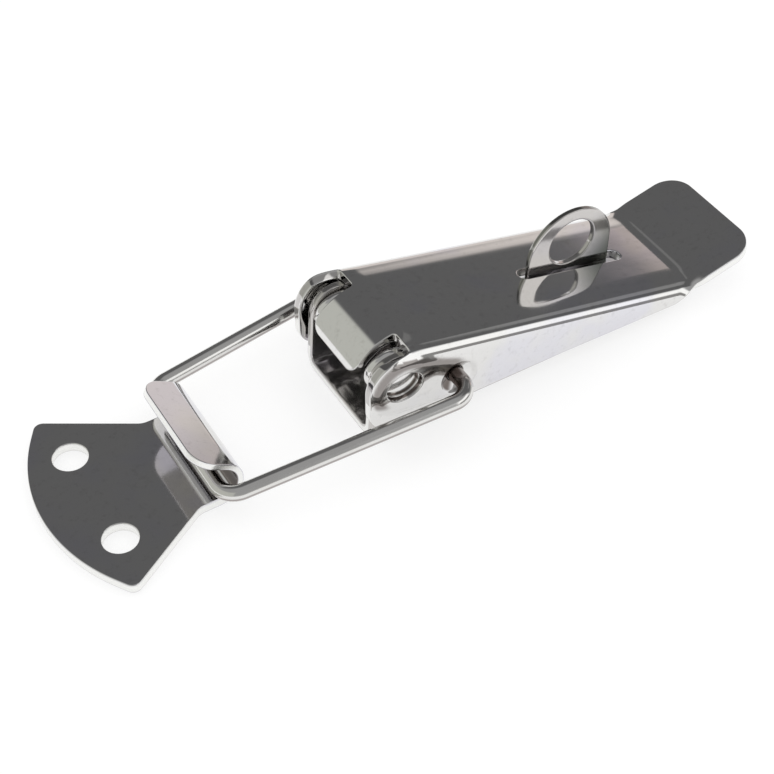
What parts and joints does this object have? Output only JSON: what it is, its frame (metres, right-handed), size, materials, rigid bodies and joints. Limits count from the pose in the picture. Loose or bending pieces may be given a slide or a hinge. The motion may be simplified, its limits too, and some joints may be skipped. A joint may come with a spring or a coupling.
{
  "type": "over centre toggle latch",
  "caption": "Over-centre toggle latch: a tapered lever with a thumb bill pulls a wire bail onto a hooked catch plate, and a padlock eye passes through the lever.",
  "frame": {"origin": "midway between the base bracket's screw holes, on the mounting face", "axes": "+X from the catch plate to the lever's thumb bill, +Z away from the mounting face, +Y to the side from which the padlock eye is lanced"},
  "size_m": [0.116, 0.0332, 0.0184],
  "materials": {
    "polished_sheet": "bright polished stainless sheet",
    "bright_wire": "bright drawn stainless wire"
  },
  "bodies": {
    "base": {"base_bracket": "polished_sheet"},
    "lever": {"lever": "polished_sheet"},
    "bail": {"wire_bail": "bright_wire"},
    "catch": {"catch_plate": "polished_sheet"}
  },
  "joints": [
    {"name": "lever_pivot", "type": "hinge", "parent": "base", "child": "lever", "pos_m": [-0.0143, 0, 0.01], "axis": [0, -1, 0], "range_deg": [0, 100]},
    {"name": "bail_swing", "type": "hinge", "parent": "lever", "child": "bail", "pos_m": [-0.0053, 0, 0.0076], "axis": [0, -1, 0], "range_deg": [-150, 0]},
    {"name": "catch_swing", "type": "hinge", "parent": "bail", "child": "catch", "pos_m": [-0.0431, 0, 0.0046], "axis": [0, -1, 0], "range_deg": [-90, 90]}
  ]
}
